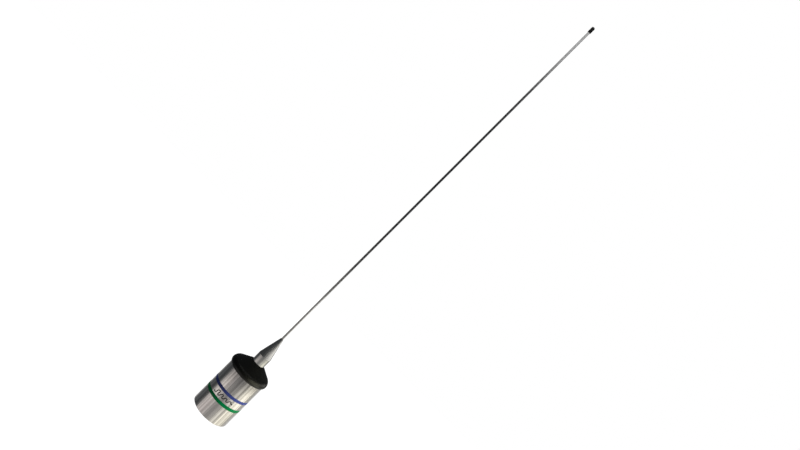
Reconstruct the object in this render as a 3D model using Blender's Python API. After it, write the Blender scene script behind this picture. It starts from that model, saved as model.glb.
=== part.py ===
"""Base-loaded marine VHF whip antenna: a stainless canister, a black cap, a ferrule and a thin whip.

Metres, +Z up.  The origin is the centre of the canister's flat bottom, the plane that seats on a bracket.
The threaded coax connector points down from there, and the whip points up along +Z.
Every part is turned about Z or placed by formula, in its real place in the assembly.
"""

import math

import bmesh
import bpy
from mathutils import Matrix, Vector

MM = 0.001
GAP = 0.3 * MM  # space left between parts that touch on the real antenna

# ---- driving dimensions --------------------------------------------------------------------------------

# canister: a drawn stainless cup
CAN_R = 35.7 * MM
CAN_WALL = 1.0 * MM
CAN_FLOOR = 1.2 * MM
CAN_RIM_Z = 93.5 * MM
CAN_CORNER = 0.9 * MM
DISH_R = 19.0 * MM  # the middle of the bottom is dished up, so the canister seats on the ring around it
DISH_DEPTH = 0.6 * MM
CAN_HOLE_R = 8.25 * MM
CAN_HOLE_FLAT = 7.4 * MM  # the D-shaped hole stops the connector from turning

# cap: a moulded cone that closes the canister
CAP_TOP_Z = 114.2 * MM
CAP_TOP_R = 13.07 * MM
CAP_RIM_Z = 93.4 * MM  # height of the widest point
CAP_RIM_ARC = 9.4 * MM
CAP_RIM_ARC_R = 29.0 * MM
CAP_LIP_ARC = 6.56 * MM
CAP_LIP_ARC_R = 31.84 * MM
CAP_LIP_Z = 89.0 * MM
CAP_LIP_IN_R = 36.1 * MM
CAP_GROOVE_IN_R = 34.4 * MM
CAP_GROOVE_TOP_Z = 95.0 * MM
CAP_SKIRT_IN_R = 32.0 * MM
CAP_SKIRT_Z = 80.0 * MM
CAP_SLOPE = 0.6174  # fall of the cone per unit of radius
CAP_ROOF = 3.5 * MM  # thickness of the cone, measured vertically
CAP_HUB_R = 10.5 * MM
CAP_HUB_Z = 99.2 * MM
CAP_POCKET_AF = 14.6 * MM
CAP_POCKET_TOP_Z = 103.3 * MM
CAP_BORE_R = 5.1 * MM

# feed stud and what is clamped on it
STUD_R = 4.76 * MM  # 3/8 inch
THREAD_PITCH = 25.4 / 24 * MM  # 24 turns per inch, on the stud and on the connector
STUD_TOP_Z = 126.5 * MM
STUD_HEX_AF = 14.0 * MM
STUD_HEX_Z = (99.0 * MM, 103.0 * MM)
STUD_SHANK_R = 3.0 * MM
STUD_SHANK_Z = 86.4 * MM
SHANK_HOLE_R = STUD_SHANK_R + GAP
STUD_NUT_AF = 10.0 * MM
STUD_NUT_HEIGHT = 4.5 * MM
STUD_WASHER_R = 6.0 * MM
STUD_WASHER_HEIGHT = 1.1 * MM

# coil former, winding and lugs
FORMER_PLATE_R = 17.0 * MM
FORMER_PLATE_Z = (5.7 * MM, 8.2 * MM)
NECK_R = (7.4 * MM, 9.6 * MM)  # wide enough for the stud's nut and its spanner
NECK_TOP_Z = 18.0 * MM
TUBE_R = (11.5 * MM, 14.0 * MM)
TUBE_Z = (22.0 * MM, 93.7 * MM)
FORMER_TOP_Z = 97.7 * MM
WINDOW_Z = (11.0 * MM, 17.0 * MM)
WINDOW_WIDTH = 5.0 * MM
WIRE_R = 0.8 * MM
COIL_R = TUBE_R[1] + GAP + WIRE_R
COIL_TURNS = 10
COIL_PITCH = 5.0 * MM
COIL_START_Z = 28.0 * MM
COIL_START_DEG = 20.0
LUG_THICK = 0.7 * MM
TOP_LUG_R = 6.6 * MM
TOP_LUG_TAIL = 3.4 * MM
GROUND_LUG_R = 2.95 * MM
GROUND_LUG_TAIL = 2.6 * MM
TAP_WIRE_R = 0.6 * MM
TAP_BEND = 3.0 * MM
TAP_Z = 14.0 * MM
TAP_DEG = 180.0

# coax connector and its fixings
BARREL_R = 7.94 * MM  # 5/8 inch
BARREL_FLAT = 7.1 * MM
BARREL_Z = -12.0 * MM
FLANGE_SIZE = 25.4 * MM
FLANGE_Z = (3.4 * MM, 5.4 * MM)
HUB_R = 6.0 * MM
HUB_TOP_Z = 8.0 * MM
SOCKET_R = 6.3 * MM
SOCKET_END_Z = 2.3 * MM
HUB_BORE_R = 4.0 * MM
SCREW_OFFSET = 9.1 * MM
SCREW_HOLE_R = 1.8 * MM
SCREW_R = 1.45 * MM
INSULATOR_FACE_Z = -9.6 * MM
SLEEVE_R = 3.0 * MM  # bore of the insulator round the contact
NOTCH_SIZE = (1.2 * MM, 0.9 * MM)  # width and depth of the notches in the barrel's rim
CONTACT_R = 2.7 * MM
CONTACT_SHANK_R = 1.6 * MM
PIN_HOLE_R = 2.05 * MM
PIN_HOLE_END_Z = -1.0 * MM
CONTACT_SLOT = (0.5 * MM, 5.5 * MM)  # width and depth
CUP_R = (1.1 * MM, 1.9 * MM)
CUP_Z = (9.5 * MM, 12.5 * MM)
GASKET_R = (8.6 * MM, 11.5 * MM)
SCREW_HEAD_R = 2.8 * MM
SCREW_HEAD_HEIGHT = 1.9 * MM
SCREW_SOCKET_AF = 2.0 * MM
NUT_AF = 19.05 * MM
NUT_HEIGHT = 3.0 * MM
LOCK_WASHER_R = 12.0 * MM
LOCK_WASHER_HEIGHT = 1.0 * MM

# ferrule, whip and tip
FERRULE_R = 12.1 * MM
FERRULE_Z = CAP_TOP_Z + GAP
FERRULE_CONE_Z = 130.3 * MM
FERRULE_NOSE_Z = 171.0 * MM
FERRULE_NOSE_R = 2.65 * MM
FERRULE_BORE_R = 5.1 * MM
FERRULE_BORE_TOP_Z = 129.0 * MM
FERRULE_GROOVE_R = (7.3 * MM, 9.5 * MM)
FERRULE_GROOVE_DEPTH = 1.9 * MM
SEAL_R = 8.4 * MM
SEAL_WIRE_R = 0.8 * MM
WHIP_R = 2.0 * MM
WHIP_Z = (134.3 * MM, 911.2 * MM)
WHIP_HOLE_R = WHIP_R + GAP
TIP_R = 3.05 * MM
TIP_Z = (902.8 * MM, 914.4 * MM)

# stripes and emblem, thin films on the canister
FILM_R = (CAN_R + GAP, CAN_R + GAP + 0.2 * MM)
BLUE_BAND_Z = (51.3 * MM, 56.5 * MM)
GREEN_BAND_Z = (32.3 * MM, 38.1 * MM)
EMBLEM_Z = (39.7 * MM, 49.9 * MM)
EMBLEM_HALF_DEG = 36.0
FRONT_DEG = -90.0  # the emblem faces -Y

SEGMENTS = 48  # sides of the large turned parts
FINE_SEGMENTS = 24  # sides of the small ones


# ---- scene and materials -------------------------------------------------------------------------------

for old in list(bpy.data.objects):
    bpy.data.objects.remove(old, do_unlink=True)


def make_material(name, colour, roughness, metallic):
    """A Principled material with one colour."""
    material = bpy.data.materials.new(name)
    material.use_nodes = True
    shader = material.node_tree.nodes["Principled BSDF"]
    shader.inputs["Base Color"].default_value = (*colour, 1.0)
    shader.inputs["Roughness"].default_value = roughness
    shader.inputs["Metallic"].default_value = metallic
    material.diffuse_color = (*colour, 1.0)
    return material


BRUSHED = make_material("brushed_stainless", (0.55, 0.53, 0.51), 0.32, 1.0)
POLISHED = make_material("polished_stainless", (0.66, 0.65, 0.64), 0.18, 1.0)
CHROME = make_material("satin_chrome", (0.66, 0.65, 0.64), 0.2, 1.0)
BLACK = make_material("black_plastic", (0.012, 0.012, 0.013), 0.42, 0.0)
NICKEL = make_material("nickel_plate", (0.60, 0.56, 0.48), 0.25, 1.0)
BRASS = make_material("brass", (0.62, 0.44, 0.17), 0.28, 1.0)
COPPER = make_material("tinned_copper", (0.66, 0.40, 0.26), 0.30, 1.0)
PTFE = make_material("white_ptfe", (0.83, 0.83, 0.80), 0.45, 0.0)
ACETAL = make_material("natural_acetal", (0.72, 0.70, 0.62), 0.45, 0.0)
RUBBER = make_material("black_rubber", (0.02, 0.02, 0.02), 0.7, 0.0)
STEEL = make_material("zinc_steel", (0.52, 0.53, 0.54), 0.35, 1.0)
BLUE = make_material("blue_vinyl", (0.03, 0.06, 0.30), 0.35, 0.0)
GREEN = make_material("green_vinyl", (0.0, 0.22, 0.08), 0.35, 0.0)
INK = make_material("emblem_film", (0.02, 0.03, 0.12), 0.4, 0.0)


# ---- building tools ------------------------------------------------------------------------------------


def finish(name, shape, material):
    """Turn a bmesh into a smooth-shaded object with sharp edges where faces meet steeply."""
    bmesh.ops.recalc_face_normals(shape, faces=shape.faces)
    mesh = bpy.data.meshes.new(name)
    shape.to_mesh(mesh)
    shape.free()
    mesh.shade_smooth()
    mesh.set_sharp_from_angle(angle=math.radians(30))
    if material is not None:
        mesh.materials.append(material)
    obj = bpy.data.objects.new(name, mesh)
    bpy.context.scene.collection.objects.link(obj)
    return obj


def arc(centre_r, centre_z, radius, start_deg, end_deg, steps):
    """Points of a circular arc in the (radius, height) plane."""
    points = []
    for i in range(steps + 1):
        a = math.radians(start_deg + (end_deg - start_deg) * i / steps)
        points.append((centre_r + radius * math.cos(a), centre_z + radius * math.sin(a)))
    return points


def hexagon(across_flats, limit=1.0):
    """Radius of a hexagon at an angle, at most limit, which rounds off the corners of a chamfered nut."""

    def radius(angle):
        turn = (angle + math.pi / 6) % (math.pi / 3) - math.pi / 6
        return min(across_flats / 2 / math.cos(turn), limit)

    return radius


def d_shape(round_radius, flat):
    """Radius of a round outline with one flat on its +X side."""

    def radius(angle):
        across = math.cos(angle)
        return min(round_radius, flat / across) if across > 0.1 else round_radius

    return radius


def lathe(name, outline, material, sides=SEGMENTS):
    """Turn an outline of (radius, height) points about Z.

    A radius is a number or a function of the angle.  An outline that starts and ends at radius 0 closes on
    the axis, and any other closes on itself as a ring.
    """
    shape = bmesh.new()
    rings = []
    for radius, z in outline:
        if radius == 0:
            rings.append([shape.verts.new((0, 0, z))] * sides)
            continue
        ring = []
        for i in range(sides):
            a = 2 * math.pi * i / sides
            r = radius(a) if callable(radius) else radius
            ring.append(shape.verts.new((r * math.cos(a), r * math.sin(a), z)))
        rings.append(ring)
    on_axis = outline[0][0] == 0
    pairs = list(zip(rings, rings[1:]))
    if not on_axis:
        pairs.append((rings[-1], rings[0]))
    for low, high in pairs:
        for i in range(sides):
            j = (i + 1) % sides
            corners = dict.fromkeys((low[i], low[j], high[j], high[i]))
            shape.faces.new(list(corners))
    return finish(name, shape, material)


def sweep(name, path, radius, material, sides=5):
    """A round wire along a list of points, with flat ends."""
    shape = bmesh.new()
    rings = []
    normal = Vector((0, 0, 1))
    for i, point in enumerate(path):
        ahead = path[min(i + 1, len(path) - 1)] - path[max(i - 1, 0)]
        ahead.normalize()
        if i == 0:
            normal = ahead.orthogonal()
        normal = (normal - ahead * normal.dot(ahead)).normalized()
        side = ahead.cross(normal)
        ring = []
        for k in range(sides):
            a = 2 * math.pi * k / sides
            ring.append(shape.verts.new(point + radius * (math.cos(a) * normal + math.sin(a) * side)))
        rings.append(ring)
    for low, high in zip(rings, rings[1:]):
        for k in range(sides):
            m = (k + 1) % sides
            shape.faces.new((low[k], low[m], high[m], high[k]))
    shape.faces.new(rings[0])
    shape.faces.new(rings[-1])
    return finish(name, shape, material)


def box(name, size, centre, turn_deg=0.0):
    """A block turned about Z and then moved, used as a cutter."""
    shape = bmesh.new()
    bmesh.ops.create_cube(shape, size=1.0)
    bmesh.ops.scale(shape, vec=size, verts=shape.verts)
    bmesh.ops.translate(shape, vec=centre, verts=shape.verts)
    bmesh.ops.rotate(shape, cent=(0, 0, 0), matrix=Matrix.Rotation(math.radians(turn_deg), 3, "Z"),
                     verts=shape.verts)
    return finish(name, shape, None)


def combine(target, tool, operation):
    """Join, cut or intersect target with tool, and keep tool only as a hidden guide."""
    modifier = target.modifiers.new(tool.name, "BOOLEAN")
    modifier.object = tool
    modifier.operation = operation
    tool.hide_render = True
    tool.display_type = "WIRE"


def cylinder(name, radius, low_z, high_z, centre=(0, 0), sides=24):
    """A plain cylinder off the main axis, used as a cutter or a joined boss."""
    tool = lathe(name, [(0, low_z), (radius, low_z), (radius, high_z), (0, high_z)], None, sides)
    tool.data.transform(Matrix.Translation((centre[0], centre[1], 0)))
    return tool


def threaded_rod(name, major, depth, low_z, high_z, chamfered_end, sides):
    """A guide with a real helical thread from low_z to high_z and a chamfer at its "low" or "high" end.

    The crest and the root are two interleaved helices, so a row that has gone once round the rod meets the
    row two places above it.
    """
    shape = bmesh.new()
    turns = math.ceil((high_z - low_z) / THREAD_PITCH) + 3
    start = low_z - 1.5 * THREAD_PITCH
    rows = []
    for row in range(2 * turns):
        radius = major if row % 2 == 0 else major - depth
        ring = []
        for i in range(sides):
            a = 2 * math.pi * i / sides
            z = start + THREAD_PITCH * (row / 2 + i / sides)
            ring.append(shape.verts.new((radius * math.cos(a), radius * math.sin(a), z)))
        rows.append(ring)
    for row in range(len(rows) - 1):
        for i in range(sides - 1):
            shape.faces.new((rows[row][i], rows[row][i + 1], rows[row + 1][i + 1], rows[row + 1][i]))
    for row in range(len(rows) - 3):
        shape.faces.new((rows[row][-1], rows[row + 2][0], rows[row + 3][0], rows[row + 1][-1]))
    low_pole = shape.verts.new((0, 0, start - THREAD_PITCH))
    high_pole = shape.verts.new((0, 0, start + THREAD_PITCH * (turns + 1)))
    low_edge = rows[0] + [rows[2][0], rows[1][0]]
    high_edge = rows[-1] + [rows[-2][-1], rows[-3][-1]]
    for edge, pole in ((low_edge, low_pole), (high_edge, high_pole)):
        for a, b in zip(edge, edge[1:] + edge[:1]):
            shape.faces.new((a, b, pole))
    rod = finish(name, shape, None)
    bevel = 1.4 * depth
    wide = major + MM
    narrow = major - bevel
    if chamfered_end == "high":
        outline = [(0, low_z), (wide, low_z), (wide, high_z - bevel - MM), (narrow, high_z), (0, high_z)]
    else:
        outline = [(0, low_z), (narrow, low_z), (wide, low_z + bevel + MM), (wide, high_z), (0, high_z)]
    combine(rod, lathe(name + "_ends", outline, None, sides), "INTERSECT")
    return rod


def around(radius, angle_deg, z):
    """The point at this radius and angle round the axis."""
    a = math.radians(angle_deg)
    return Vector((radius * math.cos(a), radius * math.sin(a), z))


# ---- canister and cap ----------------------------------------------------------------------------------


def make_canister():
    """The drawn cup: a dished bottom with a D-shaped hole, a rounded corner and a straight wall."""
    inner_r = CAN_R - CAN_WALL
    hole = d_shape(CAN_HOLE_R, CAN_HOLE_FLAT)
    outside = [(hole, DISH_DEPTH), (DISH_R, DISH_DEPTH), (DISH_R + 2 * MM, 0)]
    outside += arc(CAN_R - CAN_CORNER, CAN_CORNER, CAN_CORNER, -90, 0, 3)
    outside += [(CAN_R, CAN_RIM_Z)]
    inner_corner = CAN_CORNER - 0.6 * MM
    inside = [(inner_r, CAN_RIM_Z)]
    inside += arc(inner_r - inner_corner, CAN_FLOOR + inner_corner, inner_corner, 0, -90, 2)
    inside += [(DISH_R + 2 * MM, CAN_FLOOR), (DISH_R, CAN_FLOOR + DISH_DEPTH), (hole, CAN_FLOOR + DISH_DEPTH)]
    return lathe("canister", outside + inside, BRUSHED)


def cap_outline():
    """The cap's section: cone and rounded rim outside, a groove for the canister's rim, a skirt and a hub."""
    def roof_z(r):
        return CAP_TOP_Z - CAP_SLOPE * (r - CAP_TOP_R)

    outside = [(CAP_BORE_R, CAP_TOP_Z), (CAP_TOP_R, CAP_TOP_Z)]
    cone_deg = 90 - math.degrees(math.atan(CAP_SLOPE))
    outside += arc(CAP_RIM_ARC_R, CAP_RIM_Z, CAP_RIM_ARC, cone_deg, 0, 5)
    lip_deg = -math.degrees(math.asin((CAP_RIM_Z - CAP_LIP_Z) / CAP_LIP_ARC))
    outside += arc(CAP_LIP_ARC_R, CAP_RIM_Z, CAP_LIP_ARC, lip_deg / 3, lip_deg, 2)
    groove = [(CAP_LIP_IN_R, CAP_LIP_Z), (CAP_LIP_IN_R, CAP_GROOVE_TOP_Z)]
    groove += [(CAP_GROOVE_IN_R, CAP_GROOVE_TOP_Z), (CAP_GROOVE_IN_R, CAP_SKIRT_Z)]
    skirt = [(CAP_SKIRT_IN_R, CAP_SKIRT_Z), (CAP_SKIRT_IN_R, roof_z(CAP_SKIRT_IN_R) - CAP_ROOF - MM)]
    skirt += [(CAP_SKIRT_IN_R - 1.5 * MM, roof_z(CAP_SKIRT_IN_R - 1.5 * MM) - CAP_ROOF)]
    hub = [(CAP_HUB_R, roof_z(CAP_HUB_R) - CAP_ROOF), (CAP_HUB_R, CAP_HUB_Z)]
    pocket = hexagon(CAP_POCKET_AF)
    hub += [(pocket, CAP_HUB_Z), (pocket, CAP_POCKET_TOP_Z), (CAP_BORE_R, CAP_POCKET_TOP_Z)]
    return outside + groove + skirt + hub


make_canister()
lathe("cap", cap_outline(), BLACK)
lathe("rim_gasket", [(CAP_GROOVE_IN_R + GAP, CAN_RIM_Z + GAP), (CAP_LIP_IN_R - GAP, CAN_RIM_Z + GAP),
                     (CAP_LIP_IN_R - GAP, CAP_GROOVE_TOP_Z - GAP),
                     (CAP_GROOVE_IN_R + GAP, CAP_GROOVE_TOP_Z - GAP)], RUBBER)

# ---- stripes and emblem --------------------------------------------------------------------------------


def film_ring(z_range):
    """Section of a thin film wrapped round the canister."""
    low, high = z_range
    return [(FILM_R[0], low), (FILM_R[1], low), (FILM_R[1], high), (FILM_R[0], high)]


def make_emblem_film(steps=12):
    """A thin curved plate on the front of the canister, between the two stripes."""
    shape = bmesh.new()
    sections = []
    for i in range(steps + 1):
        angle = FRONT_DEG + EMBLEM_HALF_DEG * (2 * i / steps - 1)
        sections.append([shape.verts.new(around(r, angle, z)) for r, z in film_ring(EMBLEM_Z)])
    for near, far in zip(sections, sections[1:]):
        for k in range(4):
            m = (k + 1) % 4
            shape.faces.new((near[k], near[m], far[m], far[k]))
    shape.faces.new(sections[0])
    shape.faces.new(sections[-1])
    return finish("emblem_film", shape, INK)


lathe("blue_band", film_ring(BLUE_BAND_Z), BLUE)
lathe("green_band", film_ring(GREEN_BAND_Z), GREEN)
make_emblem_film()

# ---- feed stud, clamped through the cap and the former ---------------------------------------------------


def make_feed_stud():
    """A threaded post, a hexagon that sits in the cap's pocket and a plain shank for the former."""
    low, high = STUD_HEX_Z
    hexed = hexagon(STUD_HEX_AF)
    chamfered = hexagon(STUD_HEX_AF, STUD_HEX_AF / 2 + 0.4 * MM)
    core_r = STUD_R - MM
    outline = [(0, STUD_SHANK_Z), (STUD_SHANK_R - 0.5 * MM, STUD_SHANK_Z)]
    outline += [(STUD_SHANK_R, STUD_SHANK_Z + 0.5 * MM), (STUD_SHANK_R, low), (chamfered, low)]
    outline += [(hexed, low + 0.6 * MM), (hexed, high - 0.6 * MM), (chamfered, high)]
    outline += [(core_r, high), (core_r, high + MM), (0, high + MM)]
    stud = lathe("feed_stud", outline, BRASS, FINE_SEGMENTS)
    thread = threaded_rod("stud_thread", STUD_R, 0.65 * MM, high - MM, STUD_TOP_Z, "high", 12)
    combine(stud, thread, "UNION")
    return stud


def make_lug(name, centre, hole_r, outer_r, tail_deg, tail_length, tail_width, low_z):
    """A solder lug: an eyelet with a round-ended tail."""
    shape = bmesh.new()
    half = math.degrees(math.asin(tail_width / 2 / outer_r))
    outline = []
    for i in range(15):
        a = math.radians(tail_deg + half + (360 - 2 * half) * i / 14)
        outline.append(Vector((outer_r * math.cos(a), outer_r * math.sin(a), 0)))
    for i in range(7):
        a = math.radians(tail_deg - 90 + 180 * i / 6)
        tip = around(tail_length, tail_deg, 0)
        outline.append(tip + Vector((math.cos(a), math.sin(a), 0)) * tail_width / 2)
    shift = Vector((*centre, low_z))
    low = [shape.verts.new(p + shift) for p in outline]
    high = [shape.verts.new(p + shift + Vector((0, 0, LUG_THICK))) for p in outline]
    for i in range(len(low)):
        j = (i + 1) % len(low)
        shape.faces.new((low[i], low[j], high[j], high[i]))
    shape.faces.new(low)
    shape.faces.new(high)
    lug = finish(name, shape, COPPER)
    combine(lug, cylinder(name + "_hole", hole_r, low_z - MM, low_z + 2 * MM, centre, 18), "DIFFERENCE")
    return lug


def hex_nut_outline(bore_r, across_flats, low_z, high_z):
    """Section of a plain-bored hexagonal nut with chamfered corners."""
    hexed = hexagon(across_flats)
    chamfered = hexagon(across_flats, across_flats / 2 + 0.3 * MM)
    step = 0.12 * across_flats / 2
    outline = [(bore_r, low_z), (chamfered, low_z), (hexed, low_z + step), (hexed, high_z - step)]
    return outline + [(chamfered, high_z), (bore_r, high_z)]


def tooth_outline(bore_r, tooth, outer_r, low_z, high_z, teeth):
    """Section of a washer whose bore has teeth."""
    def toothed(angle):
        return bore_r if math.cos(teeth * angle) > -0.5 else bore_r + tooth

    return [(toothed, low_z), (outer_r, low_z), (outer_r, high_z), (toothed, high_z)]


washer_top_z = TUBE_Z[1] - GAP
washer_z = washer_top_z - STUD_WASHER_HEIGHT
stud_nut_top_z = washer_z - GAP

make_feed_stud()
make_lug("top_lug", (0, 0), SHANK_HOLE_R, TOP_LUG_R, COIL_START_DEG, COIL_R, TOP_LUG_TAIL, FORMER_TOP_Z + GAP)
lathe("stud_lock_washer",
      tooth_outline(SHANK_HOLE_R, 0.8 * MM, STUD_WASHER_R, washer_z, washer_top_z, 6), STEEL, FINE_SEGMENTS)
lathe("stud_nut",
      hex_nut_outline(SHANK_HOLE_R, STUD_NUT_AF, stud_nut_top_z - STUD_NUT_HEIGHT, stud_nut_top_z),
      STEEL, FINE_SEGMENTS)

# ---- coil former, winding and leads ----------------------------------------------------------------------


def make_coil_former():
    """Foot plate, windowed neck and coil tube in one moulding, closed at the top round the feed stud."""
    foot_low, foot_high = FORMER_PLATE_Z
    outside = [(NECK_R[0], foot_low), (FORMER_PLATE_R, foot_low), (FORMER_PLATE_R, foot_high)]
    outside += [(NECK_R[1], foot_high), (NECK_R[1], NECK_TOP_Z), (TUBE_R[1], TUBE_Z[0])]
    outside += [(TUBE_R[1], FORMER_TOP_Z), (SHANK_HOLE_R, FORMER_TOP_Z)]
    inside = [(SHANK_HOLE_R, TUBE_Z[1]), (TUBE_R[0], TUBE_Z[1]), (TUBE_R[0], TUBE_Z[0])]
    inside += [(NECK_R[0], NECK_TOP_Z)]
    former = lathe("coil_former", outside + inside, ACETAL, FINE_SEGMENTS)
    low, high = WINDOW_Z
    size = (2 * NECK_R[1] + 4 * MM, WINDOW_WIDTH, high - low)
    combine(former, box("former_windows", size, (0, 0, (low + high) / 2)), "DIFFERENCE")
    for n, centre in enumerate(screw_centres(), 1):
        hole = cylinder(f"former_hole_{n}", SCREW_HOLE_R, foot_low - MM, foot_high + MM, centre, 12)
        combine(former, hole, "DIFFERENCE")
    return former


def screw_centres():
    """The four flange screws stand on a square, the first at 45 degrees from +X."""
    return [(SCREW_OFFSET * x, SCREW_OFFSET * y) for x, y in ((1, 1), (-1, 1), (-1, -1), (1, -1))]


def coil_path(lug_tail_z, top_lug_z, steps_per_turn=18):
    """Straight up from the ground lug, round the former turn by turn, then straight up to the top lug."""
    path = [around(COIL_R, COIL_START_DEG, lug_tail_z), around(COIL_R, COIL_START_DEG, COIL_START_Z - MM)]
    count = COIL_TURNS * steps_per_turn
    for i in range(count + 1):
        turn = i / steps_per_turn
        path.append(around(COIL_R, COIL_START_DEG + 360 * turn, COIL_START_Z + COIL_PITCH * turn))
    coil_top_z = COIL_START_Z + COIL_PITCH * COIL_TURNS
    path.append(around(COIL_R, COIL_START_DEG, coil_top_z + MM))
    path.append(around(COIL_R, COIL_START_DEG, top_lug_z))
    return path


def tap_path():
    """From the centre contact's solder cup, out through the neck's window and up to the first turn."""
    bend = TAP_BEND
    turn_z = COIL_START_Z + COIL_PITCH * ((TAP_DEG - COIL_START_DEG) / 360)
    end_z = turn_z - WIRE_R - TAP_WIRE_R - GAP
    path = [Vector((0, 0, CUP_Z[0] + GAP)), Vector((0, 0, TAP_Z - bend))]
    for i in range(1, 5):
        a = math.radians(90 * i / 5)
        path.append(around(bend * (1 - math.cos(a)), TAP_DEG, TAP_Z - bend + bend * math.sin(a)))
    path.append(around(bend, TAP_DEG, TAP_Z))
    path.append(around(COIL_R - bend, TAP_DEG, TAP_Z))
    for i in range(1, 5):
        a = math.radians(90 * i / 5)
        path.append(around(COIL_R - bend + bend * math.sin(a), TAP_DEG, TAP_Z + bend * (1 - math.cos(a))))
    path.append(around(COIL_R, TAP_DEG, TAP_Z + bend))
    path.append(around(COIL_R, TAP_DEG, end_z))
    return path


lug_z = FORMER_PLATE_Z[1] + GAP
first_screw = Vector((SCREW_OFFSET, SCREW_OFFSET, 0))
lug_reach = around(COIL_R, COIL_START_DEG, 0) - first_screw

make_coil_former()
make_lug("ground_lug", tuple(first_screw.xy), SCREW_HOLE_R, GROUND_LUG_R,
         math.degrees(math.atan2(lug_reach.y, lug_reach.x)), lug_reach.length, GROUND_LUG_TAIL, lug_z)
sweep("coil_winding", coil_path(lug_z + LUG_THICK + GAP, FORMER_TOP_Z), WIRE_R, COPPER)
sweep("tap_lead", tap_path(), TAP_WIRE_R, COPPER)

# ---- coax connector ------------------------------------------------------------------------------------


def make_connector_body():
    """Square flange, hub and threaded barrel with a stepped bore, a long flat and notches in the rim."""
    low, high = FLANGE_Z
    size = (FLANGE_SIZE, FLANGE_SIZE, high - low)
    body = box("connector_body", size, (0, 0, (low + high) / 2))
    body.data.materials.append(NICKEL)
    thread = threaded_rod("barrel_thread", BARREL_R, 0.65 * MM, BARREL_Z, low + MM, "low", FINE_SEGMENTS)
    combine(body, thread, "UNION")
    combine(body, cylinder("connector_hub", HUB_R, low + MM, HUB_TOP_Z), "UNION")
    bore = [(0, BARREL_Z - MM), (SOCKET_R, BARREL_Z - MM), (SOCKET_R, SOCKET_END_Z)]
    bore += [(HUB_BORE_R, SOCKET_END_Z), (HUB_BORE_R, HUB_TOP_Z + MM), (0, HUB_TOP_Z + MM)]
    combine(body, lathe("connector_bore", bore, None, FINE_SEGMENTS), "DIFFERENCE")
    for n, centre in enumerate(screw_centres(), 1):
        combine(body, cylinder(f"flange_hole_{n}", SCREW_HOLE_R, low - MM, high + MM, centre, 12),
                "DIFFERENCE")
    flat_depth = BARREL_R - BARREL_FLAT + MM
    flat_size = (flat_depth, 3 * BARREL_R, low - BARREL_Z + MM - GAP)
    flat_centre = (BARREL_FLAT + flat_depth / 2, 0, (low + BARREL_Z - MM - GAP) / 2)
    combine(body, box("barrel_flat", flat_size, flat_centre), "DIFFERENCE")
    for turn in (45, 135):
        size = (3 * BARREL_R, NOTCH_SIZE[0], 2 * NOTCH_SIZE[1])
        notch = box(f"rim_notch_{turn}", size, (0, 0, BARREL_Z), turn)
        combine(body, notch, "DIFFERENCE")
    return body


def make_centre_contact():
    """The split socket for the plug's pin, with a solder cup at its inner end."""
    face = INSULATOR_FACE_Z
    chamfer = 0.3 * MM
    shoulder_z = SOCKET_END_Z - 1.3 * MM
    cup_low_z = HUB_TOP_Z + 0.7 * MM
    outline = [(0, PIN_HOLE_END_Z), (PIN_HOLE_R, PIN_HOLE_END_Z), (PIN_HOLE_R, face)]
    outline += [(CONTACT_R - chamfer, face), (CONTACT_R, face + chamfer)]
    outline += [(CONTACT_R, shoulder_z), (CONTACT_SHANK_R, shoulder_z)]
    outline += [(CONTACT_SHANK_R, cup_low_z), (CUP_R[1], cup_low_z), (CUP_R[1], CUP_Z[1])]
    outline += [(CUP_R[0], CUP_Z[1]), (CUP_R[0], CUP_Z[0]), (0, CUP_Z[0])]
    contact = lathe("centre_contact", outline, NICKEL, FINE_SEGMENTS)
    for turn in (0, 90):
        size = (4 * CONTACT_R, CONTACT_SLOT[0], 2 * CONTACT_SLOT[1])
        slot = box(f"contact_slot_{turn}", size, (0, 0, face), turn)
        combine(contact, slot, "DIFFERENCE")
    return contact


def make_flange_screw(number, centre, head_z):
    """A pan-head screw with a hexagon socket, from its seat down into the connector's flange."""
    socket = hexagon(SCREW_SOCKET_AF)
    end_z = FLANGE_Z[0] + GAP
    top_z = head_z + SCREW_HEAD_HEIGHT
    edge_z = head_z + 0.6 * SCREW_HEAD_HEIGHT
    socket_z = head_z + 0.4 * SCREW_HEAD_HEIGHT
    outline = [(0, end_z), (SCREW_R, end_z), (SCREW_R, head_z), (SCREW_HEAD_R, head_z)]
    outline += [(SCREW_HEAD_R, edge_z), (0.75 * SCREW_HEAD_R, top_z), (socket, top_z)]
    outline += [(socket, socket_z), (0, socket_z)]
    screw = lathe(f"flange_screw_{number}", outline, STEEL, 12)
    screw.data.transform(Matrix.Translation((*centre, 0)))
    return screw


make_connector_body()
insulator_r = SOCKET_R - GAP
insulator_neck_r = HUB_BORE_R - GAP
insulator_top_z = HUB_TOP_Z + 0.4 * MM
contact_hole_r = CONTACT_SHANK_R + GAP
lathe("connector_insulator",
      [(SLEEVE_R, INSULATOR_FACE_Z), (insulator_r, INSULATOR_FACE_Z), (insulator_r, SOCKET_END_Z - GAP),
       (insulator_neck_r, SOCKET_END_Z - GAP), (insulator_neck_r, insulator_top_z),
       (contact_hole_r, insulator_top_z), (contact_hole_r, SOCKET_END_Z - MM),
       (SLEEVE_R, SOCKET_END_Z - MM)],
      PTFE, FINE_SEGMENTS)
make_centre_contact()
gasket_low_z = CAN_FLOOR + DISH_DEPTH + GAP
gasket_high_z = FLANGE_Z[0] - GAP
lathe("connector_gasket", [(GASKET_R[0], gasket_low_z), (GASKET_R[1], gasket_low_z),
                           (GASKET_R[1], gasket_high_z), (GASKET_R[0], gasket_high_z)],
      RUBBER, FINE_SEGMENTS)
for screw_number, screw_centre in enumerate(screw_centres(), 1):
    on_lug = LUG_THICK + GAP if screw_number == 1 else 0
    make_flange_screw(screw_number, screw_centre, lug_z + on_lug)

# ---- mounting washer and nut, which leave the barrel downwards -------------------------------------------

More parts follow.
